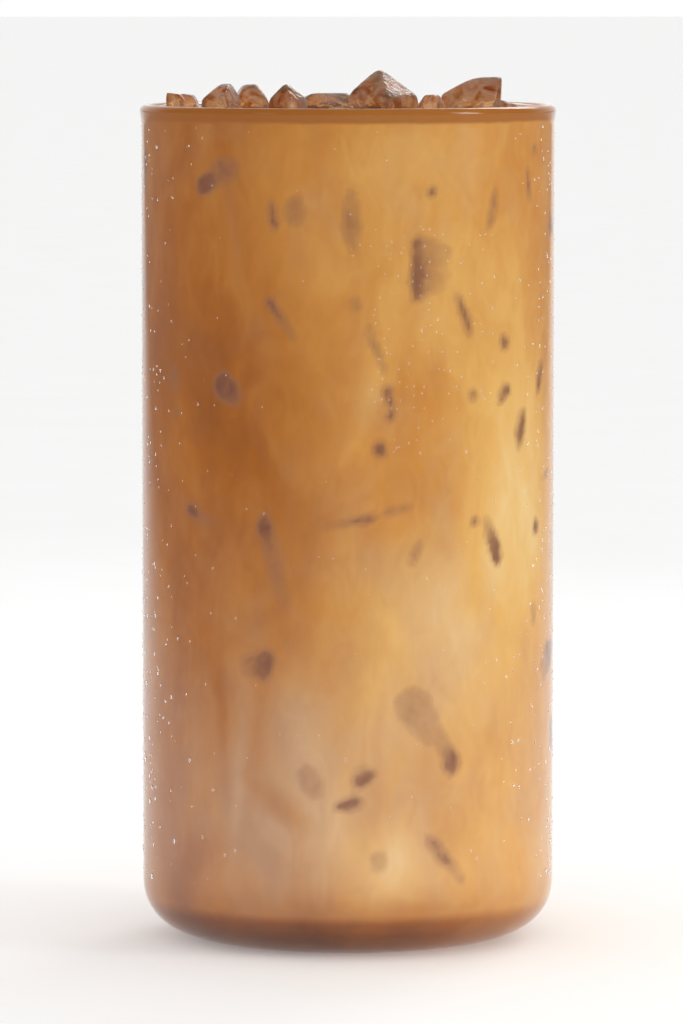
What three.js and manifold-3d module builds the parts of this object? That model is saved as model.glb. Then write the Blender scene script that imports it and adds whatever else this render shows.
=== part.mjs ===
// A tall glass of cold brew coffee with cream, filled to the brim and heaped with cracked ice.
// Millimetres, +Z up. The origin is the middle of the underside, so the glass stands on Z = 0.
// The front, which is the side a drinker would be shown, looks along -Y, and +X is to its right.
import * as THREE from "three";
import { ConvexGeometry } from "three/addons/geometries/ConvexGeometry.js";
import { mergeVertices } from "three/addons/utils/BufferGeometryUtils.js";
import Module from "manifold-3d";

const wasm = await Module();
wasm.setup();

// The glass: a straight tumbler with a heavy rounded foot and a fire-polished lip.
const GLASS_RADIUS = 36.5;
const GLASS_HEIGHT = 147.5;
const WALL = 1.9;
const BASE = 5.6;
const FOOT_REACH = 13;
const FOOT_RISE = 10.4;
const FOOT_FULLNESS = 2.3;
const INNER_ROUND = 8;
const LIP_ROUND = 1.1;
const LIP_FLARE = 0.3;
const FLARE_START = 144;

// The drink: its level, and how far its edge climbs the wall.
const LEVEL = GLASS_HEIGHT - 1;
const MENISCUS_RISE = 0.6;
const MENISCUS_REACH = 1.2;
const MENISCUS_WIDTH = 4;

// Neighbouring solids stand this far apart.
const GAP = 0.3;

const ROUND_STEPS = 80;
const FOOT_STEPS = 9;
const LIP_STEPS = 10;
const MENISCUS_STEPS = 5;

const GLASS_INSIDE = GLASS_RADIUS - WALL;
const DRINK_RADIUS = GLASS_INSIDE - GAP;

// The pieces of ice that stand out of the drink at the front. Each has the middle of its widest
// part, its width and depth, how far it rises above the rim and sinks below it, how far its top
// leans sideways and backwards, how wide that top is against the whole, and its turn.
const FRONT_ICE = [
  {
    name: "ice_peak", x: 6.4, y: -5, wide: 14.4, deep: 14, rise: 6.7, sink: 13.7,
    lean: -0.9, back: 1.5, top: 0.1, turn: 5,
  },
  {
    name: "ice_right", x: 22, y: 0, wide: 13.5, deep: 15, rise: 5.2, sink: 12.7,
    lean: 3, back: 0, top: 0.5, turn: 40,
  },
  {
    name: "ice_left", x: -22.4, y: -7, wide: 8.6, deep: 11, rise: 4.1, sink: 10.7,
    lean: 0.9, back: 1, top: 0.3, turn: 25,
  },
  {
    name: "ice_left_back", x: -17.2, y: 4, wide: 9.6, deep: 12, rise: 3.7, sink: 11.7,
    lean: -0.2, back: 0, top: 0.36, turn: 50,
  },
  {
    name: "ice_hump", x: -10.6, y: -9, wide: 7.4, deep: 9, rise: 4.2, sink: 9.7,
    lean: -0.3, back: 0.5, top: 0.12, turn: 0,
  },
  {
    name: "ice_slab", x: -4, y: 5, wide: 14.4, deep: 12, rise: 2.3, sink: 12.7,
    lean: 0.6, back: 0, top: 0.74, turn: 48,
  },
  {
    name: "ice_bit_far_left", x: -30.4, y: -3.5, wide: 5, deep: 6, rise: 2.3, sink: 5.7,
    lean: -0.4, back: 0, top: 0.7, turn: 45,
  },
  {
    name: "ice_bit_left", x: -28.6, y: 5.5, wide: 5.4, deep: 6, rise: 2, sink: 6.7,
    lean: 0, back: 0, top: 0.6, turn: 30,
  },
  {
    name: "ice_bit_right", x: 14.6, y: -13.5, wide: 5.2, deep: 6, rise: 2.2, sink: 5.7,
    lean: 0, back: 0, top: 0.5, turn: 20,
  },
  {
    name: "ice_bit_far_right", x: 27.6, y: -9.5, wide: 5, deep: 6, rise: 1.2, sink: 6.7,
    lean: -1, back: 0, top: 0.4, turn: 10,
  },
];
const FRONT_CORNERS = 4;

// The rest of the heap lies lower, tilted every way, and is drawn at random round and between
// those, the largest pieces first. It is tallest in the middle of the back.
const HEAP_SIZES = [16, 14.5, 13, 11.5, 10, 8.5, 7];
const HEAP_TRIES = 420;
const HEAP_MOST = 24;
const HEAP_TILT = 38;
const HEAP_LOW = -0.3;
const HEAP_EDGE_HIGH = 0.1;
const HEAP_MIDDLE_HIGH = 1.6;
const HEAP_MIDDLE_FROM = -8;
const HEAP_MIDDLE_TO = 20;
const HEAP_SEED = 6100;

// How uneven a piece of ice is: the share of its half size that a corner strays by, and the
// degrees that it strays round the piece.
const ICE_STRAY = 0.13;
const ICE_STRAY_ROUND = 9;
const ICE_SPACING = 0.5;
const ICE_WALL_CLEARANCE = 1.2;

// A piece grown along its three axes stands out less at its slopes, so it is grown by this much
// more.
const SLOPE_ALLOWANCE = 1.4;

const glassMaterial = new THREE.MeshPhysicalMaterial({
  color: 0xf4f6f4,
  roughness: 0.03,
  metalness: 0,
  transmission: 1,
  ior: 1.5,
});
const drinkMaterial = new THREE.MeshStandardMaterial({
  color: 0xc68a4e,
  roughness: 0.3,
  metalness: 0,
});
const iceMaterial = new THREE.MeshPhysicalMaterial({
  color: 0xc79a70,
  roughness: 0.08,
  metalness: 0,
  transmission: 0.8,
  ior: 1.31,
});

// Points along an arc in the profile plane, angles in degrees from the radial direction.
function arc(centreX, centreZ, radius, from, to, steps) {
  const points = [];
  for (let i = 0; i <= steps; i++) {
    const angle = THREE.MathUtils.degToRad(from + ((to - from) * i) / steps);
    points.push(
      new THREE.Vector2(centreX + radius * Math.cos(angle), centreZ + radius * Math.sin(angle)),
    );
  }
  return points;
}

// The foot's corner, a little squarer than a quarter of an ellipse, from the flat underside up.
function footCorner() {
  const points = [];
  for (let i = 0; i <= FOOT_STEPS; i++) {
    const angle = (Math.PI / 2) * (i / FOOT_STEPS);
    const out = Math.sin(angle) ** (2 / FOOT_FULLNESS);
    const down = Math.cos(angle) ** (2 / FOOT_FULLNESS);
    points.push(
      new THREE.Vector2(GLASS_RADIUS - FOOT_REACH * (1 - out), FOOT_RISE * (1 - down)),
    );
  }
  return points;
}

// A profile of radius and height, turned round the Z axis.
function turned(profile) {
  return new THREE.LatheGeometry(profile, ROUND_STEPS).rotateX(Math.PI / 2);
}

function solidOf(geometry) {
  const bare = geometry.clone();
  bare.deleteAttribute("normal");
  bare.deleteAttribute("uv");
  const merged = mergeVertices(bare, 1e-4);
  return new wasm.Manifold(
    new wasm.Mesh({
      numProp: 3,
      vertProperties: new Float32Array(merged.attributes.position.array),
      triVerts: new Uint32Array(merged.index.array),
    }),
  );
}

function geometryOf(solid) {
  const mesh = solid.getMesh();
  const geometry = new THREE.BufferGeometry();
  geometry.setAttribute("position", new THREE.BufferAttribute(mesh.vertProperties, 3));
  geometry.setIndex(new THREE.BufferAttribute(mesh.triVerts, 1));
  geometry.computeVertexNormals();
  return geometry;
}

// The glass, one closed outline: underside, foot, wall, lip, inside wall and floor.
function glassProfile() {
  const lipX = GLASS_RADIUS + LIP_FLARE - LIP_ROUND;
  const lipZ = GLASS_HEIGHT - LIP_ROUND;
  return [
    new THREE.Vector2(0, 0),
    ...footCorner(),
    new THREE.Vector2(GLASS_RADIUS, FLARE_START),
    ...arc(lipX, lipZ, LIP_ROUND, 0, 180, LIP_STEPS),
    new THREE.Vector2(GLASS_INSIDE, FLARE_START),
    ...arc(GLASS_INSIDE - INNER_ROUND, BASE + INNER_ROUND, INNER_ROUND, 0, -90, FOOT_STEPS),
    new THREE.Vector2(0, BASE),
  ];
}

// The drink before the ice is cut from it: it fills the inside, a gap clear of the wall, and its
// edge curls up at the top.
function drinkProfile() {
  const cornerX = GLASS_INSIDE - INNER_ROUND;
  const points = [
    new THREE.Vector2(0, BASE + GAP),
    ...arc(cornerX, BASE + INNER_ROUND, INNER_ROUND - GAP, -90, 0, FOOT_STEPS),
  ];
  for (let i = 0; i <= MENISCUS_STEPS; i++) {
    const inward = MENISCUS_WIDTH * (i / MENISCUS_STEPS) ** 2;
    const rise = MENISCUS_RISE * Math.exp(-inward / MENISCUS_REACH);
    points.push(new THREE.Vector2(DRINK_RADIUS - inward, LEVEL + rise));
  }
  points.push(new THREE.Vector2(0, LEVEL));
  return points;
}

// The corners of a cracked piece of ice: uneven rings from its foot in the drink to its top,
// tilted as a whole and then set at its height.
function iceCorners(piece) {
  THREE.MathUtils.seededRandom(piece.seed);
  const stray = () => 2 * THREE.MathUtils.seededRandom() - 1;
  const rings = [
    { z: -piece.sink, size: 0.6, slide: -0.3 },
    { z: -0.5 * piece.sink, size: 1, slide: 0 },
    { z: 0.3 * piece.rise, size: 0.97, slide: 0 },
    { z: piece.rise, size: piece.top, slide: 1 },
  ];
  const away = THREE.MathUtils.degToRad(piece.tiltTowards + 90);
  const hinge = new THREE.Vector3(Math.cos(away), Math.sin(away), 0);
  const points = [];
  for (const ring of rings) {
    for (let i = 0; i < piece.corners; i++) {
      const degrees = piece.turn - 90 + (360 * i) / piece.corners + ICE_STRAY_ROUND * stray();
      const angle = THREE.MathUtils.degToRad(degrees);
      const halfWide = 0.5 * piece.wide * ring.size * (1 + ICE_STRAY * stray());
      const halfDeep = 0.5 * piece.deep * ring.size * (1 + ICE_STRAY * stray());
      const unlevel = 0.5 * ICE_STRAY * piece.wide * ring.size * stray();
      const corner = new THREE.Vector3(
        ring.slide * piece.lean + halfWide * Math.cos(angle),
        ring.slide * piece.back + halfDeep * Math.sin(angle),
        ring.z + 0.5 * piece.sink + unlevel,
      );
      points.push(corner.applyAxisAngle(hinge, THREE.MathUtils.degToRad(piece.tilt)));
    }
  }
  const highest = Math.max(...points.map((point) => point.z));
  const place = new THREE.Vector3(piece.x, piece.y, GLASS_HEIGHT + piece.rise - highest);
  return points.map((point) => point.add(place));
}

// The same corners spread from their middle, so that every side stands out by `grow` or a little
// more.
function spreadCorners(points, grow) {
  const box = new THREE.Box3().setFromPoints(points);
  const middle = box.getCenter(new THREE.Vector3());
  const half = box.getSize(new THREE.Vector3()).multiplyScalar(0.5);
  const share = SLOPE_ALLOWANCE * grow;
  const spread = new THREE.Vector3(1 + share / half.x, 1 + share / half.y, 1 + share / half.z);
  return points.map((point) => point.clone().sub(middle).multiply(spread).add(middle));
}

function iceSolid(piece, grow = 0) {
  return solidOf(new ConvexGeometry(spreadCorners(iceCorners(piece), grow)));
}

function staysInside(piece) {
  const most = DRINK_RADIUS - ICE_WALL_CLEARANCE;
  return iceCorners(piece).every((point) => Math.hypot(point.x, point.y) < most);
}

// One piece of the heap, all its measures drawn from its own seed.
function drawnPiece(size, seed) {
  THREE.MathUtils.seededRandom(seed);
  const draw = (low, high) => THREE.MathUtils.lerp(low, high, THREE.MathUtils.seededRandom());
  const angle = draw(0, 2 * Math.PI);
  const far = (DRINK_RADIUS - size / 2) * Math.sqrt(draw(0, 1));
  const x = far * Math.cos(angle);
  const y = far * Math.sin(angle);
  const inMiddle = y > 0 && x > HEAP_MIDDLE_FROM && x < HEAP_MIDDLE_TO;
  return {
    x,
    y,
    wide: size,
    deep: size * draw(0.8, 1.15),
    rise: draw(HEAP_LOW, inMiddle ? HEAP_MIDDLE_HIGH : HEAP_EDGE_HIGH),
    sink: size * draw(0.65, 0.95),
    lean: draw(-1, 1),
    back: draw(-1, 1),
    top: draw(0.6, 0.95),
    turn: draw(0, 90),
    tilt: draw(0, HEAP_TILT),
    tiltTowards: draw(0, 360),
    corners: Math.round(draw(3.6, 5.4)),
    seed,
  };
}

// The heap: drawn pieces, kept where they clear the glass and every earlier piece.
function heapedIce(placed) {
  let taken = placed
    .map((piece) => iceSolid(piece, ICE_SPACING))
    .reduce((all, solid) => all.add(solid));
  const pieces = [];
  let seed = HEAP_SEED;
  for (const size of HEAP_SIZES) {
    for (let i = 0; i < HEAP_TRIES && pieces.length < HEAP_MOST; i++) {
      seed += 1;
      const piece = { ...drawnPiece(size, seed), name: `ice_heap_${pieces.length + 1}` };
      if (staysInside(piece) && iceSolid(piece).intersect(taken).isEmpty()) {
        pieces.push(piece);
        taken = taken.add(iceSolid(piece, ICE_SPACING));
      }
    }
  }
  return pieces;
}

function named(name, geometry, material) {
  const mesh = new THREE.Mesh(geometry, material);
  mesh.name = name;
  return mesh;
}

const upright = { tilt: 0, tiltTowards: 0, corners: FRONT_CORNERS };
const frontIce = FRONT_ICE.map((piece, i) => ({ ...piece, ...upright, seed: i + 1 }));
const ice = [...frontIce, ...heapedIce(frontIce)];

const icePockets = ice.map((piece) => iceSolid(piece, GAP)).reduce((all, solid) => all.add(solid));
const drink = solidOf(turned(drinkProfile())).subtract(icePockets);

const coldBrew = new THREE.Group();
coldBrew.add(named("glass", turned(glassProfile()), glassMaterial));
coldBrew.add(named("drink", geometryOf(drink), drinkMaterial));
for (const piece of ice) {
  coldBrew.add(named(piece.name, geometryOf(iceSolid(piece)), iceMaterial));
}

export default coldBrew;
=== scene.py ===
"""A tall glass of cold brew coffee with cream, heaped with cracked ice, in a white studio.

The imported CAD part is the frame. Every solid of it is replaced by a finer piece of the same form:
a smooth glass, the milky coffee with its swirls, and wet, rounded ice. Added here are the ice that
lies wholly in the drink, and the condensation on the glass. Sizes are in millimetres, and MM turns
them into metres. The front looks along -Y.
"""

import math
import random

import bmesh
import bpy
import numpy as np
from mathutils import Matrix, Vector, noise
from mathutils.bvhtree import BVHTree


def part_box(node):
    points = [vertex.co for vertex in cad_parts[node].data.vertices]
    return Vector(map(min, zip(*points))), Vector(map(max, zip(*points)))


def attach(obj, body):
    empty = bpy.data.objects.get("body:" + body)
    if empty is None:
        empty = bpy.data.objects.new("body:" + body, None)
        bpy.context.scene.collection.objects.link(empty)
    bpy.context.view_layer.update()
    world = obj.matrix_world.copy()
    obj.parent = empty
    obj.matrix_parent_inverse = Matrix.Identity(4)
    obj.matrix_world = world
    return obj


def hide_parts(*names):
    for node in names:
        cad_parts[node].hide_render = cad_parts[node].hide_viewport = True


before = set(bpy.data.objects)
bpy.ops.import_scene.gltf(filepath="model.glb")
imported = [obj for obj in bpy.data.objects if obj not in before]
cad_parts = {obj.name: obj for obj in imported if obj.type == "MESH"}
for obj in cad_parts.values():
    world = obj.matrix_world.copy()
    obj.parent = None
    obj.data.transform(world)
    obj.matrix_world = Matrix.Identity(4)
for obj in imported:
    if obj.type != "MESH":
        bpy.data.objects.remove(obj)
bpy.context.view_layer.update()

MM = 0.001

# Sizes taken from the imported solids
glass_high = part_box("glass")[1]
LIP_RADIUS = glass_high.x / MM
GLASS_HEIGHT = glass_high.z / MM

# The glass
LIP_FLARE = 0.3
LIP_ROUND = 1.1
GLASS_RADIUS = LIP_RADIUS - LIP_FLARE
WALL = 1.9
GLASS_INSIDE = GLASS_RADIUS - WALL
BASE = 5.6
INNER_ROUND = 8
FOOT_REACH = 13
FOOT_RISE = 10.4
FOOT_FULLNESS = 2.3
FLARE_START = 144
FLARE_EASE = 1.5
GLASS_IOR = 1.5

# The drink, which reaches a little into the wall so that no air shows between them
INTO_WALL = 0.05
DRINK_RADIUS = GLASS_INSIDE + INTO_WALL
LEVEL = GLASS_HEIGHT - 1
MENISCUS_RISE = 0.6
MENISCUS_REACH = 1.2
WETTING_RISE = 0.4
WETTING_REACH = 0.7
DARK_TOP = 2.5
# Painted shade on the drink's underside: below this height the drink is darker, fading over the span
# after it.
PAINTED_SHADE_BELOW = 7.7
PAINTED_SHADE_FADE = 1.2

# The ice of the heap
ICE_NODES = sorted(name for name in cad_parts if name.startswith("ice_"))
ICE_FINENESS = 5
POCKET_FINENESS = 4
ICE_SHARPNESS = 28
ICE_MELT = 0.3
ICE_MELT_SIZE = 4.5
ICE_IN_DRINK = 0.1

# How finely things are turned
GLASS_STEPS = 256
DRINK_STEPS = 300
ROW_HEIGHT = 0.75
TOP_RINGS = 42


def on_wall(angle, height, radius):
    """A point at an angle from the front, to the right when positive, at a height and radius."""
    return Vector((radius * math.sin(angle), -radius * math.cos(angle), height))


def arc(centre, radius, start, end, steps):
    """Points of radius and height along an arc, its angles in degrees from the outward axis."""
    points = []
    for i in range(steps + 1):
        angle = math.radians(start + (end - start) * i / steps)
        points.append((centre[0] + radius * math.cos(angle), centre[1] + radius * math.sin(angle)))
    return points


def revolved(profile, steps):
    """Points and faces of a profile turned round Z. Both of the profile's ends lie on Z."""
    points = [Vector((0, 0, profile[0][1]))]
    for radius, height in profile[1:-1]:
        points += [on_wall(2 * math.pi * i / steps, height, radius) for i in range(steps)]
    points.append(Vector((0, 0, profile[-1][1])))
    last = len(points) - 1
    faces = []
    for i in range(steps):
        j = (i + 1) % steps
        faces.append((0, 1 + j, 1 + i))
        faces.append((last, last - steps + i, last - steps + j))
        for row in range(1, last - steps, steps):
            faces.append((row + i, row + j, row + steps + j, row + steps + i))
    return points, faces


def new_mesh(name, points, faces):
    """A mesh in metres from points in millimetres."""
    mesh = bpy.data.meshes.new(name)
    mesh.from_pydata([Vector(point) * MM for point in points], [], faces)
    mesh.update()
    return mesh


def new_piece(name, mesh, materials):
    """A piece of the object: it rides on the one body and takes its finish from that slot."""
    piece = bpy.data.objects.new(name, mesh)
    bpy.context.scene.collection.objects.link(piece)
    for material in materials:
        mesh.materials.append(material)
    mesh.shade_smooth()
    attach(piece, "root")
    return piece


# Shader helpers


class Tree:
    """A material's node tree, with short calls to add and link nodes."""

    def __init__(self, owner):
        owner.use_nodes = True
        self.nodes = owner.node_tree.nodes
        self.links = owner.node_tree.links
        self.nodes.clear()

    def add(self, kind, inputs=None, **settings):
        """A node of that kind. An input that is an output socket is linked, others are set."""
        node = self.nodes.new("ShaderNode" + kind)
        for key, value in settings.items():
            setattr(node, key, value)
        for key, value in (inputs or {}).items():
            if isinstance(value, bpy.types.NodeSocket):
                self.links.new(value, node.inputs[key])
            else:
                node.inputs[key].default_value = value
        return node

    def noise(self, scale, detail=3.0, distortion=0.0, vector=None):
        """The value of a noise whose grains are about 1 / scale metres in size."""
        inputs = {"Scale": scale, "Detail": detail, "Distortion": distortion}
        inputs["Vector"] = vector or self.add("TexCoord").outputs["Object"]
        return self.add("TexNoise", inputs).outputs["Fac"]

    def ranged(self, value, low, high, to_low, to_high):
        """The value's range from low to high, taken to another range and held there."""
        inputs = {"Value": value, 1: low, 2: high, 3: to_low, 4: to_high}
        return self.add("MapRange", inputs).outputs[0]

    def sum(self, *values):
        """The sum of the values."""
        total = values[0]
        for value in values[1:]:
            total = self.add("Math", {0: total, 1: value}, operation="ADD").outputs[0]
        return total

    def product(self, first, second):
        """The product of two values."""
        return self.add("Math", {0: first, 1: second}, operation="MULTIPLY").outputs[0]

    def blend(self, share, first, second):
        """The first colour where share is 0, the second where it is 1."""
        node = self.add("Mix", {"Factor": share}, data_type="RGBA")
        for socket, colour in ((node.inputs[6], first), (node.inputs[7], second)):
            if isinstance(colour, bpy.types.NodeSocket):
                self.links.new(colour, socket)
            else:
                socket.default_value = colour
        return node.outputs[2]

    def ramp(self, value, stops):
        """The colour of a value along stops of place and colour."""
        node = self.add("ValToRGB", {"Fac": value})
        elements = node.color_ramp.elements
        elements[0].position, elements[0].color = stops[0]
        elements[1].position, elements[1].color = stops[-1]
        for place, colour in stops[1:-1]:
            elements.new(place).color = colour
        return node.outputs["Color"]

    def either(self, share, first, second):
        """The first shader where share is 0, the second where it is 1."""
        return self.add("MixShader", {0: share, 1: first, 2: second}).outputs[0]

    def output(self, surface, volume=None):
        """Ends the tree."""
        inputs = {"Surface": surface}
        if volume:
            inputs["Volume"] = volume
        self.add("OutputMaterial", inputs)


def srgb(red, green, blue):
    """A linear colour from one in 8-bit sRGB, as it would be read off a screen."""
    shares = [value / 255 for value in (red, green, blue)]
    return (*[s / 12.92 if s <= 0.04045 else ((s + 0.055) / 1.055) ** 2.4 for s in shares], 1)


def see_through(tree, shader, tint, volume=None):
    """Light that falls on what lies behind passes straight through, tinted."""
    path = tree.add("LightPath").outputs
    clear = tree.add("BsdfTransparent", {"Color": tint}).outputs[0]
    seen = tree.either(path["Is Diffuse Ray"], shader, clear)
    tree.output(tree.either(path["Is Shadow Ray"], seen, clear), volume)


# Glass

CLEAR = (1, 1, 1, 1)


def glass_material():
    """Polished clear glass with faint smears and a slightly wavy skin."""
    material = bpy.data.materials.new("clear_glass")
    tree = Tree(material)
    smears = tree.noise(90, 4, 0.6)
    waves = tree.noise(60, 1)
    bump = tree.add("Bump", {"Height": waves, "Strength": 0.05, "Distance": 0.0004})
    shader = tree.add(
        "BsdfPrincipled",
        {
            "Base Color": tree.blend(smears, srgb(247, 250, 248), srgb(255, 255, 255)),
            "Roughness": tree.ranged(smears, 0.4, 0.75, 0.0, 0.05),
            "Transmission Weight": 1.0,
            "IOR": GLASS_IOR,
            "Normal": bump.outputs[0],
        },
    )
    see_through(tree, shader.outputs[0], CLEAR)
    return material


def glass_profile():
    """The glass's closed outline: underside, foot, wall, flare, lip, inside and floor."""
    points = [(0, 0)]
    for i in range(33):
        angle = math.pi / 2 * i / 32
        out = math.sin(angle) ** (2 / FOOT_FULLNESS)
        down = math.cos(angle) ** (2 / FOOT_FULLNESS)
        points.append((GLASS_RADIUS - FOOT_REACH * (1 - out), FOOT_RISE * (1 - down)))
    lip_z = GLASS_HEIGHT - LIP_ROUND
    for i in range(13):
        share = i / 12
        radius = GLASS_RADIUS + LIP_FLARE * share**FLARE_EASE
        points.append((radius, FLARE_START + (lip_z - FLARE_START) * share))
    points += arc((LIP_RADIUS - LIP_ROUND, lip_z), LIP_ROUND, 0, 180, 20)[1:]
    points.append((GLASS_INSIDE, FLARE_START))
    points += arc((GLASS_INSIDE - INNER_ROUND, BASE + INNER_ROUND), INNER_ROUND, 0, -90, 20)
    points.append((0, BASE))
    return points


def make_glass():
    """The tumbler."""
    points, faces = revolved(glass_profile(), GLASS_STEPS)
    mesh = new_mesh("tumbler", points, faces)
    piece = new_piece("tumbler", mesh, [glass_material()])
    mesh.set_sharp_from_angle(angle=math.radians(60))
    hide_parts("glass")
    return piece


# Ice of the heap

ICE_TINT = (0.85, 0.66, 0.45, 1)
ICE_STAIN = (0.84, 0.6, 0.26, 1)
ICE_STAIN_DENSITY = 210.0


def ice_material():
    """Wet ice filmed and stained by coffee, with cloudy veins and a rippled skin."""
    material = bpy.data.materials.new("wet_ice")
    tree = Tree(material)
    ripples = tree.noise(330, 4, 0.8)
    grain = tree.noise(1400, 2)
    height = tree.sum(ripples, tree.product(grain, 0.35))
    bump = tree.add("Bump", {"Height": height, "Strength": 0.6, "Distance": 0.0006})
    veins = tree.noise(240, 5, 1.8)
    film = tree.ramp(
        veins,
        [
            (0.3, srgb(178, 104, 50)),
            (0.42, srgb(224, 170, 118)),
            (0.52, srgb(246, 218, 180)),
            (0.66, srgb(254, 244, 230)),
        ],
    )
    shader = tree.add(
        "BsdfPrincipled",
        {
            "Base Color": film,
            "Roughness": tree.ranged(veins, 0.4, 0.7, 0.16, 0.04),
            "Transmission Weight": 0.84,
            "IOR": 1.31,
            "Normal": bump.outputs[0],
        },
    )
    stain = tree.add("VolumeAbsorption", {"Color": ICE_STAIN, "Density": ICE_STAIN_DENSITY})
    see_through(tree, shader.outputs[0], ICE_TINT, stain.outputs[0])
    return material


def flat_sides(node_name):
    """A convex solid's middle, and for each of its flat sides the normal over its distance."""
    shape = bmesh.new()
    shape.from_mesh(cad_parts[node_name].data)
    bmesh.ops.remove_doubles(shape, verts=shape.verts, dist=0.01 * MM)
    bmesh.ops.dissolve_limit(
        shape, angle_limit=math.radians(1), verts=shape.verts, edges=shape.edges
    )
    shape.normal_update()
    middle = sum((vert.co for vert in shape.verts), Vector()) / len(shape.verts)
    sides = []
    for face in shape.faces:
        distance = face.normal.dot(face.calc_center_median() - middle)
        sides.append(face.normal / distance)
    shape.free()
    return middle, sides


def melted(node_name, shrink, fineness):
    """The node's solid with rounded edges and faintly uneven faces, never larger than it.

    Towards each direction the nearest flat side ends the piece. Taking all sides together by a
    high power instead of the nearest alone rounds the edges where they meet.
    """
    middle, sides = flat_sides(node_name)
    shape = bmesh.new()
    bmesh.ops.create_icosphere(shape, subdivisions=fineness, radius=1)
    for vert in shape.verts:
        direction = vert.co.normalized()
        total = sum(max(side.dot(direction), 0) ** ICE_SHARPNESS for side in sides)
        reach = total ** (-1 / ICE_SHARPNESS)
        place = middle + direction * reach
        waste = 0.5 + 0.5 * noise.noise(place / (ICE_MELT_SIZE * MM))
        melt = ICE_MELT * MM * min(max(waste, 0), 1)
        vert.co = middle + direction * (reach - melt - shrink)
    shape.normal_update()
    return shape


def make_heap():
    """The pieces of ice that stand out of the drink, each in its CAD node's place."""
    material = ice_material()
    cutter = bmesh.new()
    for node_name in ICE_NODES:
        shape = melted(node_name, 0, ICE_FINENESS)
        mesh = bpy.data.meshes.new("wet_" + node_name)
        shape.to_mesh(mesh)
        shape.free()
        piece = new_piece("wet_" + node_name, mesh, [material])
        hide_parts(node_name)
        shape = melted(node_name, ICE_IN_DRINK * MM, POCKET_FINENESS)
        pocket = bpy.data.meshes.new("pocket")
        shape.to_mesh(pocket)
        cutter.from_mesh(pocket)
        bpy.data.meshes.remove(pocket)
        shape.free()
    return cutter


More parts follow.
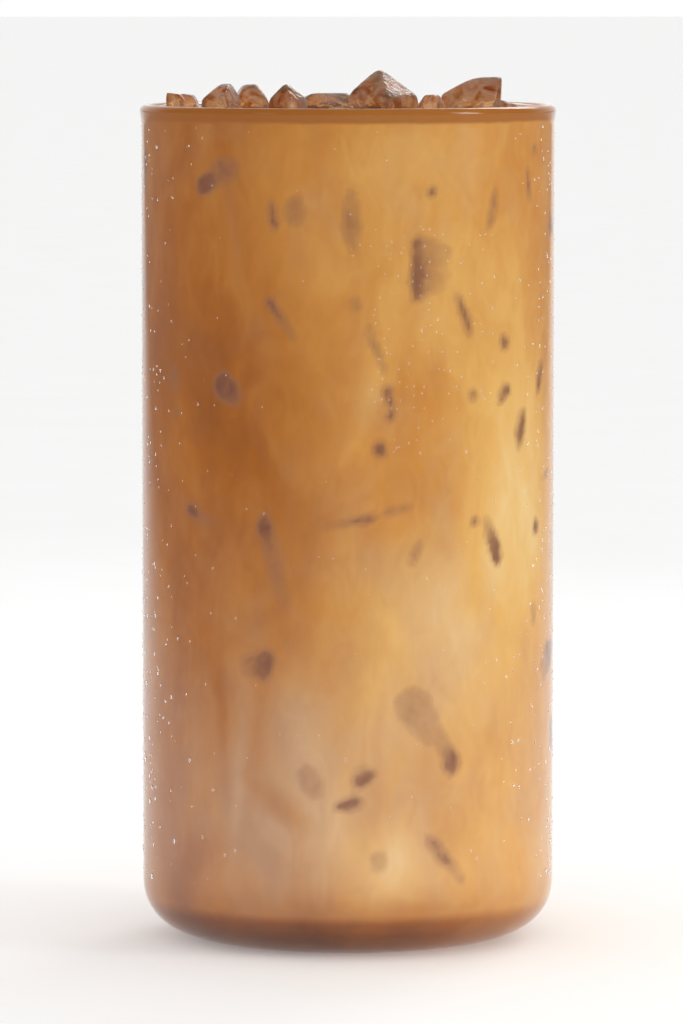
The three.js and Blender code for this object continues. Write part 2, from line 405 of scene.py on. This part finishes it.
# Ice that lies wholly in the drink. It shows where it nears the wall: dark where it touches, and
# dimly where a film of drink lies between. Each row is one piece: the middle of its contact as it
# is seen from the front (across, height), that contact's length and width, its slant in degrees
# from upright (rightwards at the top), the film over it, and where its next corner lies (across,
# up and its own film).
FRONT_SUNK_ICE = [
    (-25.0, 134.0, 3.4, 2.8, 20, 0.0, 5.5, 2.5, 1.0),
    (-22.0, 136.6, 6.0, 4.0, 60, 0.6, 3.0, 0.0, 1.6),
    (-13.0, 129.4, 4.8, 1.4, -15, 0.1, 0.6, -2.0, 1.2),
    (-9.7, 130.4, 5.0, 2.5, 20, 0.6, 1.5, -2.0, 1.6),
    (0.4, 128.6, 11.0, 2.4, 0, 0.7, 1.0, -3.0, 1.8),
    (-13.2, 113.6, 3.2, 1.3, -38, 0.0, 4.5, -5.6, 1.1),
    (-21.6, 99.6, 5.4, 4.2, 10, 0.0, 2.4, -2.4, 1.2),
    (-30.2, 100.4, 5.6, 3.4, 0, 0.8, 1.0, -2.0, 1.8),
    (-29.8, 94.8, 1.4, 1.0, 0, 0.1, 0.4, -0.8, 1.0),
    (-27.3, 77.6, 2.8, 1.8, 70, 0.0, 5.4, -2.4, 1.1),
    (-14.6, 76.0, 3.2, 2.2, 25, 0.0, 3.6, -14.6, 1.7),
    (-14.0, 51.4, 5.4, 2.0, 4, 0.15, -4.2, -0.4, 0.8),
    (3.0, 77.0, 4.4, 0.9, 78, 0.0, -8.0, -1.6, 1.1),
    (8.4, 78.5, 5.6, 0.8, 74, 0.45, 2.0, 0.4, 1.2),
    (5.4, 89.4, 2.3, 2.0, 30, 0.0, 0.8, -1.4, 1.0),
    (6.9, 98.3, 3.7, 1.2, -12, 0.05, 0.6, -2.0, 1.0),
    (7.3, 94.8, 1.2, 1.1, 0, 0.0, 0.2, -0.8, 0.9),
    (14.3, 133.3, 1.3, 1.1, 0, 0.0, 0.4, -0.8, 0.9),
    (11.5, 120.0, 13.0, 1.3, 2, 0.15, 6.6, 0.0, 1.5),
    (19.9, 112.3, 7.6, 1.3, -23, 0.2, 1.0, -2.6, 1.3),
    (4.8, 106.4, 9.8, 0.8, -21, 0.35, 0.6, -2.0, 1.2),
    (1.1, 114.4, 2.0, 1.1, 10, 0.5, 0.5, -1.0, 1.2),
    (25.1, 130.7, 7.4, 1.6, 12, 0.5, -0.8, -2.6, 1.6),
    (31.3, 134.6, 5.5, 1.0, -10, 0.1, 0.4, -2.0, 1.1),
    (32.5, 140.2, 1.6, 1.1, 0, 0.2, 0.3, -0.8, 1.1),
    (27.2, 106.2, 2.0, 1.8, 0, 0.1, -0.6, 1.6, 1.1),
    (21.6, 98.1, 1.5, 1.1, 20, 0.2, 0.4, -1.0, 1.1),
    (27.3, 97.6, 4.1, 1.0, 45, 0.1, -1.2, 1.4, 1.1),
    (33.6, 99.6, 6.2, 1.2, 27, 0.15, -0.6, 2.0, 1.3),
    (30.3, 91.1, 8.0, 1.2, 16, 0.15, -1.2, 2.0, 1.3),
    (25.7, 70.8, 6.0, 2.0, -10, 0.05, -2.6, 4.2, 1.4),
    (32.9, 73.4, 2.0, 1.8, 0, 0.1, -0.6, 1.6, 1.2),
    (21.8, 76.1, 1.2, 0.8, 30, 0.1, 0.3, -0.8, 1.0),
    (11.7, 71.3, 4.4, 1.2, 18, 0.6, -0.4, -1.6, 1.4),
    (32.4, 59.1, 3.6, 1.6, -12, 0.8, 0.2, -1.6, 1.6),
    (11.0, 44.6, 7.4, 5.4, 50, 0.75, 3.8, -6.0, 1.5),
    (18.0, 33.8, 3.6, 2.6, -8, 0.1, -3.4, 6.6, 1.2),
    (3.2, 31.6, 4.2, 0.9, 50, 0.0, -1.6, 2.0, 1.1),
    (-0.4, 27.8, 5.0, 0.8, 68, 0.1, 1.6, -1.2, 1.2),
    (15.4, 19.2, 7.0, 1.9, -38, 0.3, 4.6, -5.0, 1.3),
    (5.2, 17.0, 4.0, 2.2, -8, 0.8, 0.6, 1.0, 1.5),
    (-6.8, 31.8, 5.6, 3.4, -20, 0.75, 1.0, -2.0, 1.5),
]
SUNK_DEPTH = 8
SUNK_UNDER = 0.12
SUNK_GROWN = 0.5
FILM_FADE = 1.1
FILM_SPOTS = (-0.5, 0.0, 0.5)
DRAWN_SUNK_ICE = 64
FRONT_HALF_ANGLE = 75
SUNK_SEED = 41


def seen_angle(across):
    """The angle on the drink's wall that glass bends to that distance across, seen from the front."""
    inner = GLASS_IOR * GLASS_INSIDE
    outer = GLASS_IOR * GLASS_RADIUS
    within = min(max(across, -0.99 * GLASS_RADIUS), 0.99 * GLASS_RADIUS)
    return math.asin(within / GLASS_RADIUS) - math.asin(within / outer) + math.asin(within / inner)


def sunk_corners(angle, row, chance):
    """The corners of one sunk piece whose contact's middle is at that angle on the wall."""
    height, length, width, slant, film, tail_across, tail_up, tail_film = row
    lean = math.radians(slant)
    surface = DRINK_RADIUS - SUNK_UNDER

    def corner(across, up, depth):
        jitter = 1 + 0.12 * (2 * chance.random() - 1)
        turn = angle + across * jitter / DRINK_RADIUS
        return on_wall(turn, height + up * jitter, surface - depth)

    def along(share, side):
        run = 0.5 * (length + SUNK_GROWN) * share
        off = 0.5 * (width + SUNK_GROWN) * side
        return run * math.sin(lean) + off * math.cos(lean), run * math.cos(lean) - off * math.sin(lean)

    corners = [corner(0, 0, film)]
    for share, side in ((1, 0.1), (0.45, 1), (-0.5, 0.9), (-1, -0.1), (-0.4, -1), (0.55, -0.8)):
        corners.append(corner(*along(share, side), film))
    for share, side in ((0.5, 0.6), (-0.5, 0.6), (-0.5, -0.6), (0.5, -0.6)):
        run, rise = along(share, side)
        corners.append(corner(tail_across + run, tail_up + rise, tail_film))
    for share, side in ((1, 1), (1, -1), (-1, 1), (-1, -1)):
        run, rise = along(0.7 * share, 0.7 * side)
        corners.append(corner(0.5 * tail_across + run, 0.5 * tail_up + rise, SUNK_DEPTH * 0.5))
    return corners


def drawn_sunk_ice(chance):
    """Pieces for the sides and the back, which the photo doesn't show, alike in kind."""
    rows = []
    for _ in range(DRAWN_SUNK_ICE):
        angle = math.radians(chance.uniform(FRONT_HALF_ANGLE, 360 - FRONT_HALF_ANGLE))
        height = LEVEL - 6 - (LEVEL - 20) * chance.random() ** 1.3
        length = chance.uniform(1.2, 8)
        width = min(length, chance.uniform(0.8, 3.6))
        film = chance.choice((0, 0, 0.1, 0.3, 0.6, 0.8))
        tail = (chance.uniform(-5, 5), chance.uniform(-6, 4), film + chance.uniform(0.8, 1.4))
        rows.append((angle, (height, length, width, chance.uniform(-70, 70), film, *tail)))
    return rows


def sunk_ice_material():
    """Ice seen through a little milky coffee: dark mauve brown."""
    material = bpy.data.materials.new("sunk_ice")
    tree = Tree(material)
    patches = tree.noise(420, 3, 0.8)
    colour = tree.ramp(
        patches,
        [
            (0.3, srgb(104, 58, 42)),
            (0.5, srgb(120, 72, 58)),
            (0.7, srgb(146, 98, 80)),
        ],
    )
    inputs = {"Base Color": colour, "Roughness": 0.5, "Specular IOR Level": 0.0}
    shader = tree.add("BsdfPrincipled", inputs)
    tree.output(shader.outputs[0])
    return material


def make_sunk_ice():
    """All the ice that lies wholly in the drink, one piece."""
    chance = random.Random(SUNK_SEED)
    shape = bmesh.new()
    rows = [(seen_angle(row[0]), row[1:]) for row in FRONT_SUNK_ICE]
    for angle, row in rows + drawn_sunk_ice(chance):
        verts = [shape.verts.new(corner * MM) for corner in sunk_corners(angle, row, chance)]
        hull = bmesh.ops.convex_hull(shape, input=verts)
        unused = [item for item in hull["geom_interior"] if isinstance(item, bmesh.types.BMVert)]
        bmesh.ops.delete(shape, geom=unused, context="VERTS")
    mesh = bpy.data.meshes.new("sunk_ice")
    shape.to_mesh(mesh)
    shape.free()
    piece = new_piece("sunk_ice", mesh, [sunk_ice_material()])
    mesh.shade_flat()
    return piece


# The drink's swirls. Each row is one soft patch on the wall: its middle as it is seen from the
# front (across, height), its half length and half width, its slant in degrees from upright, how
# much creamier it is, and how much more golden, or pinker when below 0.
FRONT_SWIRLS = [
    (-20, 94, 26, 14, 0, -0.13, 0.10),
    (-11, 128, 20, 10, -6, 0.14, 0.10),
    (4, 118, 24, 11, 0, 0.17, 0.10),
    (10, 140, 9, 18, 0, 0.10, 0.0),
    # The next two rows paint light: a pale golden band down the right side, where the key light falls.
    (28, 84, 34, 9, 0, 0.30, 0.45),
    (33, 76, 22, 5, 0, 0.18, 0.35),
    (18, 118, 20, 8, 0, 0.16, 0.10),
    (16, 58, 20, 12, 0, 0.22, -0.15),
    (24, 20, 18, 10, 0, 0.06, 0.25),
    (-14, 24, 16, 12, 0, 0.12, -0.55),
    (-30, 24, 26, 6, 0, -0.02, -0.35),
    (2, 44, 20, 12, 0, 0.14, 0.05),
    (8, 17, 10, 5, 20, 0.22, -0.15),
    (-3, 24, 14, 5, -12, 0.14, -0.10),
    (-12, 27, 6, 2.2, -50, -0.16, 0.30),
    (-19, 34, 13, 1.4, 4, 0.08, -0.35),
    (-22, 42, 12, 1.2, -4, -0.08, 0.05),
    (-15.5, 38, 11, 1.2, 6, -0.06, 0.10),
    (-28, 14, 10, 4, 35, -0.14, -0.15),
    (30, 13, 9, 3, -20, -0.04, 0.45),
    # This row paints shade: a darker band along the drink's bottom, where little light reaches.
    (0, 7.5, 4, 26, 0, -0.14, 0.15),
    (4, 98, 12, 3, 8, 0.10, 0.0),
    (-3, 66, 16, 4, 14, 0.08, 0.1),
    (-9, 44, 8, 5, -20, 0.08, -0.2),
    (12, 62, 12, 5, 30, 0.06, 0.1),
]


def swirl_fields(points):
    """For each point, in millimetres, how creamy and how golden the drink is there, painted light and
    shade included.
    """
    x, y, z = points.T
    angle = np.arctan2(x, -y)
    # Painted light: the sine term makes the drink creamier towards the right side, where the key light
    # falls.
    cream = 0.40 + 0.14 * np.sin(angle) + 0.10 * np.clip((90 - z) / 90, 0, 1)
    # Painted shade: the drink's underside is made darker, where little light reaches.
    cream -= 0.28 * np.clip((PAINTED_SHADE_BELOW - z) / PAINTED_SHADE_FADE, 0, 1)
    # Painted light: the sine term makes the drink more golden towards the right side, where the key light
    # falls.
    golden = 0.08 + 0.09 * np.sin(angle) + 0.28 * np.clip((z - 45) / 40, 0, 1)
    for across, height, half_long, half_wide, slant, more_cream, more_golden in FRONT_SWIRLS:
        middle = seen_angle(across)
        lean = math.radians(slant)
        off = (np.mod(angle - middle + math.pi, 2 * math.pi) - math.pi) * DRINK_RADIUS
        up = z - height
        run = (off * math.sin(lean) + up * math.cos(lean)) / half_long
        side = (off * math.cos(lean) - up * math.sin(lean)) / half_wide
        patch = np.exp(-(run**2) - side**2)
        cream += more_cream * patch
        golden += more_golden * patch
    behind = 0.5 - 0.5 * np.clip(np.cos(angle) / 0.3, -1, 1)
    for i in np.nonzero(behind > 0)[0]:
        place = Vector((x[i], y[i], 0.45 * z[i])) / 15
        warp = noise.noise_vector(place * 1.3) * 0.9
        cream[i] += behind[i] * 0.34 * noise.noise(place + warp)
        golden[i] += behind[i] * 0.5 * noise.noise(place * 0.8 - warp)
    return cream, golden


def film_field(points, sunk):
    """For each point, how plainly ice shows through the drink there, from 0 to 1."""
    tree = BVHTree.FromPolygons(
        [vert.co.copy() for vert in sunk.data.vertices],
        [tuple(face.vertices) for face in sunk.data.polygons],
    )
    spots = [(across, up) for across in FILM_SPOTS for up in FILM_SPOTS]
    shown = np.zeros(len(points))
    for i, (x, y, z) in enumerate(points):
        if math.hypot(x, y) < DRINK_RADIUS - 1:
            continue
        if not tree.find_nearest(Vector((x, y, z)) * MM, 5 * MM)[0]:
            continue
        angle = math.atan2(x, -y)
        for across, up in spots:
            turn = angle + across / DRINK_RADIUS
            start = on_wall(turn, z + up, DRINK_RADIUS + 1)
            hit = tree.ray_cast(start * MM, on_wall(turn, 0, -1), 6 * MM)
            if hit[0]:
                depth = max(hit[3] / MM - 1, 0)
                shown[i] += math.exp(-depth / FILM_FADE) / len(spots)
    return shown


def drink_colour(tree):
    """The milky coffee's colour from its cream, its gold and the ice that shows through; cream and gold
    also carry painted light on the right side and painted shade underneath.
    """
    # The cream and golden attributes carry painted light on the right side and painted shade underneath,
    # besides the drink's own mix.
    cream = tree.add("Attribute", attribute_name="cream").outputs["Fac"]
    golden = tree.add("Attribute", attribute_name="golden").outputs["Fac"]
    film = tree.add("Attribute", attribute_name="film").outputs["Fac"]
    place = tree.add("TexCoord").outputs["Object"]
    tall = tree.add("Mapping", {"Vector": place, "Scale": (1, 1, 0.55)}).outputs[0]
    clouds = tree.ranged(tree.noise(80, 3, 0.8, tall), 0.25, 0.75, -0.075, 0.075)
    wisps = tree.ranged(tree.noise(240, 4, 1.2, tall), 0.3, 0.7, -0.03, 0.03)
    hue = tree.ranged(tree.noise(110, 2, 0.8, tall), 0.3, 0.7, -0.18, 0.18)
    cream_and_painted_light = tree.sum(cream, clouds, wisps)
    gold = tree.ramp(
        cream_and_painted_light,
        [
            (0.0, srgb(130, 68, 24)),
            (0.25, srgb(173, 101, 36)),
            (0.5, srgb(207, 139, 64)),
            (0.75, srgb(231, 179, 102)),
            (1.0, srgb(244, 214, 154)),
        ],
    )
    pink = tree.ramp(
        cream_and_painted_light,
        [
            (0.0, srgb(124, 74, 50)),
            (0.25, srgb(162, 106, 72)),
            (0.5, srgb(184, 138, 104)),
            (0.75, srgb(214, 172, 132)),
            (1.0, srgb(234, 206, 174)),
        ],
    )
    base = tree.blend(tree.ranged(tree.sum(golden, hue), -0.5, 0.5, 0, 1), pink, gold)
    ragged = tree.sum(film, tree.ranged(tree.noise(330, 2, 0.6), 0.3, 0.7, -0.12, 0.12))
    inside = tree.product(ragged, tree.ranged(film, 0, 0.15, 0, 1))
    veiled = tree.blend(tree.ranged(inside, 0.02, 0.75, 0, 0.75), base, srgb(152, 104, 78))
    iced = tree.blend(tree.ranged(inside, 0.5, 1, 0, 0.8), veiled, srgb(118, 72, 56))
    height = tree.add("SeparateXYZ", {"Vector": place}).outputs["Z"]
    dark_from = (GLASS_HEIGHT - DARK_TOP) * MM
    edge = tree.sum(height, tree.ranged(clouds, -0.08, 0.08, -0.0003, 0.0003))
    dark = tree.ranged(edge, dark_from - 0.0003, dark_from + 0.0003, 0, 0.85)
    return tree.blend(dark, iced, srgb(164, 98, 42))


def wall_material():
    """The drink against the glass, where nothing glints but the glass."""
    material = bpy.data.materials.new("milky_coffee")
    tree = Tree(material)
    inputs = {"Base Color": drink_colour(tree), "Roughness": 0.7, "Specular IOR Level": 0.0}
    shader = tree.add("BsdfPrincipled", inputs)
    tree.output(shader.outputs[0])
    return material


def surface_material():
    """The drink's top: darker coffee, marbled with cream, wet and faintly rippled."""
    material = bpy.data.materials.new("coffee_surface")
    tree = Tree(material)
    marble = tree.noise(70, 4, 2.2)
    streaks = tree.noise(180, 3, 2.6)
    mixed = tree.sum(tree.product(marble, 0.7), tree.product(streaks, 0.3))
    colour = tree.ramp(
        mixed,
        [
            (0.32, srgb(92, 46, 18)),
            (0.47, srgb(134, 78, 34)),
            (0.58, srgb(176, 118, 62)),
            (0.7, srgb(226, 186, 132)),
        ],
    )
    ripples = tree.noise(140, 2, 0.6)
    bump = tree.add("Bump", {"Height": ripples, "Strength": 0.3, "Distance": 0.0006})
    inputs = {"Base Color": colour, "Roughness": 0.1, "IOR": 1.33, "Normal": bump.outputs[0]}
    shader = tree.add("BsdfPrincipled", inputs)
    tree.output(shader.outputs[0])
    return material


def drink_profile():
    """The drink's outline: floor, round corner, wall, curled edge and level top."""
    corner = (GLASS_INSIDE - INNER_ROUND, BASE + INNER_ROUND)
    points = [(0, BASE - INTO_WALL)]
    points += [((i + 1) * corner[0] / 12, BASE - INTO_WALL) for i in range(11)]
    points += arc(corner, INNER_ROUND + INTO_WALL, -90, 0, 18)
    top = LEVEL + MENISCUS_RISE
    rows = round((top - corner[1]) / ROW_HEIGHT)
    points += [(DRINK_RADIUS, corner[1] + (top - corner[1]) * (i + 1) / rows) for i in range(rows)]
    for i in range(1, TOP_RINGS):
        inward = DRINK_RADIUS * (i / TOP_RINGS) ** 1.25
        points.append((DRINK_RADIUS - inward, LEVEL + MENISCUS_RISE * math.exp(-inward / MENISCUS_REACH)))
    points.append((0, LEVEL))
    return points


def raise_round_ice(mesh, cutter):
    """Lifts the drink's top a little where it wets the ice."""
    tree = BVHTree.FromBMesh(cutter)
    for vert in mesh.vertices:
        if vert.co.z >= (LEVEL - 0.01) * MM and vert.co.xy.length < (DRINK_RADIUS - 0.2) * MM:
            distance = tree.find_nearest(vert.co)[3] / MM
            lift = WETTING_RISE * math.exp(-distance / WETTING_REACH)
            vert.co.z += lift * MM


def cut_pockets(piece, cutter):
    """Cuts the ice's room out of the drink."""
    pocket_mesh = bpy.data.meshes.new("pockets")
    cutter.to_mesh(pocket_mesh)
    pockets = bpy.data.objects.new("pockets", pocket_mesh)
    bpy.context.scene.collection.objects.link(pockets)
    modifier = piece.modifiers.new("pockets", "BOOLEAN")
    modifier.operation = "DIFFERENCE"
    modifier.solver = "MANIFOLD"
    modifier.object = pockets
    evaluated = piece.evaluated_get(bpy.context.evaluated_depsgraph_get())
    cut = bpy.data.meshes.new_from_object(evaluated)
    piece.modifiers.clear()
    piece.data = cut
    bpy.data.objects.remove(pockets)
    bpy.data.meshes.remove(pocket_mesh)


def make_drink(cutter, sunk):
    """The milky coffee."""
    points, faces = revolved(drink_profile(), DRINK_STEPS)
    mesh = new_mesh("coffee", points, faces)
    raise_round_ice(mesh, cutter)
    piece = new_piece("coffee", mesh, [wall_material(), surface_material()])
    cut_pockets(piece, cutter)
    mesh = piece.data
    count = len(mesh.vertices)
    places = np.empty(3 * count)
    mesh.vertices.foreach_get("co", places)
    places = places.reshape(-1, 3) / MM
    # Cream and gold hold painted light on the right side and painted shade underneath, besides the
    # drink's own mix.
    cream, golden = swirl_fields(places)
    fields = {"cream": cream, "golden": golden, "film": film_field(places, sunk)}
    for name, values in fields.items():
        mesh.attributes.new(name, "FLOAT", "POINT").data.foreach_set("value", values)
    near_wall = (DRINK_RADIUS - 0.1) * MM
    for face in mesh.polygons:
        against_glass = face.center.xy.length > near_wall
        low = face.center.z < (BASE + INNER_ROUND) * MM
        face.material_index = 0 if against_glass or low else 1
    mesh.set_sharp_from_angle(angle=math.radians(35))
    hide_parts("drink")
    return piece


# Condensation

DROPS = 1500
DROP_SEED = 7
DROP_SIDES = 10
DROP_CLEAR = 0.01
DROP_MOST_HIGH = 0.26


def water_material():
    """A drop of clean water."""
    material = bpy.data.materials.new("condensation")
    tree = Tree(material)
    haze = tree.noise(2500, 2)
    shader = tree.add(
        "BsdfPrincipled",
        {
            "Base Color": tree.blend(haze, srgb(250, 252, 255), srgb(255, 255, 255)),
            "Roughness": tree.ranged(haze, 0.3, 0.7, 0.0, 0.03),
            "Transmission Weight": 0.94,
            "IOR": 1.33,
        },
    )
    see_through(tree, shader.outputs[0], CLEAR)
    return material


def drop_size(chance, angle, height):
    """The half width of a drop there, or 0 where the glass stays dry."""
    side = abs(math.sin(angle))
    lowness = 1 - height / GLASS_HEIGHT
    wanted = 0.04 + 0.8 * side**8 + 0.2 * lowness * side**2
    if 0.1 < math.sin(angle) < 0.7 and 88 < height < 128 and math.cos(angle) > 0:
        wanted = 1
    if chance.random() > wanted:
        return 0
    return chance.uniform(0.1, 0.2) + 0.22 * chance.random() ** 4 * (0.2 + lowness)


def make_condensation():
    """Fine drops over the outside of the wall, closed and a hair clear of it, one piece."""
    chance = random.Random(DROP_SEED)
    points, faces = [], []
    made = 0
    while made < DROPS:
        angle = chance.uniform(-math.pi, math.pi)
        height = chance.uniform(FOOT_RISE + 1, FLARE_START)
        size = drop_size(chance, angle, height)
        if not size:
            continue
        made += 1
        tall = size * chance.uniform(1.0, 1.5)
        peak = min(0.5 * size, DROP_MOST_HIGH)
        start = len(points)
        surface = GLASS_RADIUS + DROP_CLEAR
        for ring, (width, out) in enumerate(((1, 0), (0.94, 0.4), (0.62, 0.82))):
            for i in range(DROP_SIDES):
                turn = 2 * math.pi * i / DROP_SIDES
                across = size * width * math.cos(turn) / GLASS_RADIUS
                up = tall * width * math.sin(turn)
                points.append(on_wall(angle + across, height + up, surface + peak * out))
        points.append(on_wall(angle, height, surface + peak))
        points.append(on_wall(angle, height, surface))
        top, bottom = len(points) - 2, len(points) - 1
        for i in range(DROP_SIDES):
            j = (i + 1) % DROP_SIDES
            faces.append((bottom, start + j, start + i))
            for row in (0, DROP_SIDES):
                first = start + row
                faces.append((first + i, first + j, first + DROP_SIDES + j, first + DROP_SIDES + i))
            last = start + 2 * DROP_SIDES
            faces.append((last + i, last + j, top))
    mesh = new_mesh("condensation", points, faces)
    piece = new_piece("condensation", mesh, [water_material()])
    mesh.set_sharp_from_angle(angle=math.radians(70))
    return piece


# Studio

CAMERA_PLACE = (-1.13, -1135, 172.2)
CAMERA_DOWN = 4.886
CAMERA_LENS = 225.4
FLOOR_RADIUS = 20000
FLOOR_BELOW = 0.2
# Where the floor's painted shade begins and where it is full, in front and to the sides.
WHITE_FROM = -130
SHADE_IN_FRONT = -520
WHITE_TO_SIDE = 160
SHADE_AT_SIDE = 500
WHITE_WIDENS = 0.3
SHINE_EDGE = 0.35


def make_camera():
    """The camera at the photo's angle, a little above the rim and far off."""
    data = bpy.data.cameras.new("camera")
    data.sensor_width = 36
    data.lens = CAMERA_LENS
    data.clip_start = 0.05
    data.clip_end = 60
    camera = bpy.data.objects.new("camera", data)
    camera.location = Vector(CAMERA_PLACE) * MM
    camera.rotation_euler = (math.radians(90 - CAMERA_DOWN), 0, 0)
    bpy.context.scene.collection.objects.link(camera)
    bpy.context.scene.camera = camera


def make_floor():
    """A plain wide white floor just under the glass, with painted shade: grey far in front and to the
    sides.
    """
    points = [(0, 0, -FLOOR_BELOW)]
    for i in range(96):
        turn = 2 * math.pi * i / 96
        points.append((FLOOR_RADIUS * math.cos(turn), FLOOR_RADIUS * math.sin(turn), -FLOOR_BELOW))
    faces = [(0, 1 + i, 1 + (i + 1) % 96) for i in range(96)]
    floor = bpy.data.objects.new("floor", new_mesh("floor", points, faces))
    bpy.context.scene.collection.objects.link(floor)
    material = bpy.data.materials.new("white_table")
    tree = Tree(material)
    place = tree.add("TexCoord").outputs["Object"]
    axes = tree.add("SeparateXYZ", {"Vector": place}).outputs
    mottle = tree.blend(tree.noise(20), srgb(250, 250, 249), srgb(254, 254, 254))
    # Painted shade: away from the glass, far in front and to the sides, the floor turns grey.
    front = tree.ranged(axes["Y"], SHADE_IN_FRONT * MM, WHITE_FROM * MM, 0, 1)
    sideways = tree.add("Math", {0: axes["X"]}, operation="ABSOLUTE").outputs[0]
    widening = tree.sum(sideways, tree.product(axes["Y"], -WHITE_WIDENS))
    beside = tree.ranged(widening, WHITE_TO_SIDE * MM, SHADE_AT_SIDE * MM, 1, 0)
    colour = tree.blend(tree.product(front, beside), srgb(150, 149, 147), mottle)
    shader = tree.add("BsdfPrincipled", {"Base Color": colour, "Roughness": 0.8})
    tree.output(shader.outputs[0])
    floor.data.materials.append(material)


def make_world():
    """White surroundings. What the glass mirrors is darker in front, where the room is dark."""
    world = bpy.data.worlds.new("studio")
    bpy.context.scene.world = world
    tree = Tree(world)
    direction = tree.add("TexCoord").outputs["Generated"]
    depth = tree.add("SeparateXYZ", {"Vector": direction}).outputs["Y"]
    behind = tree.ranged(depth, 0.5, 1.0, 0.03, 1.0)
    path = tree.add("LightPath").outputs
    mirrored = tree.product(path["Is Reflection Ray"], path["Is Glossy Ray"])
    colour = tree.blend(mirrored, (1, 1, 1, 1), behind)
    light = tree.add("Background", {"Color": colour, "Strength": 1.0})
    tree.add("OutputWorld", {"Surface": light.outputs[0]})


def make_softbox(name, azimuth, away, low, high, width, radiance):
    """A softbox at that azimuth right of the front, facing the glass, fading to its edges."""
    tall = high - low
    data = bpy.data.lights.new(name, "AREA")
    data.shape = "RECTANGLE"
    data.size = width * MM
    data.size_y = tall * MM
    data.energy = radiance * math.pi * data.size * data.size_y
    tree = Tree(data)
    place = tree.add("SeparateXYZ", {"Vector": tree.add("NewGeometry").outputs["Parametric"]})
    fades = []
    for axis in ("X", "Y"):
        share = place.outputs[axis]
        rising = tree.ranged(share, 0, SHINE_EDGE, 0, 1)
        falling = tree.ranged(share, 1 - SHINE_EDGE, 1, 1, 0)
        fades.append(tree.product(rising, falling))
    glow = tree.add("Emission", {"Strength": tree.product(*fades)})
    tree.add("OutputLight", {"Surface": glow.outputs[0]})
    light = bpy.data.objects.new(name, data)
    light.location = on_wall(math.radians(azimuth), (low + high) / 2, away) * MM
    light.rotation_euler = (math.radians(90), 0, math.radians(azimuth))
    bpy.context.scene.collection.objects.link(light)


make_camera()
make_world()
make_floor()
make_softbox("key", 70, 1000, 60, 900, 360, 5.5)
make_softbox("fill", -48, 1000, 380, 900, 300, 0.9)
make_softbox("back", 155, 700, 420, 900, 420, 5.0)

make_glass()
pocket_cutter = make_heap()
sunk_ice = make_sunk_ice()
make_drink(pocket_cutter, sunk_ice)
pocket_cutter.free()
make_condensation()

settings = bpy.context.scene.view_settings
settings.view_transform = "Standard"
bpy.context.scene.cycles.use_denoising = True
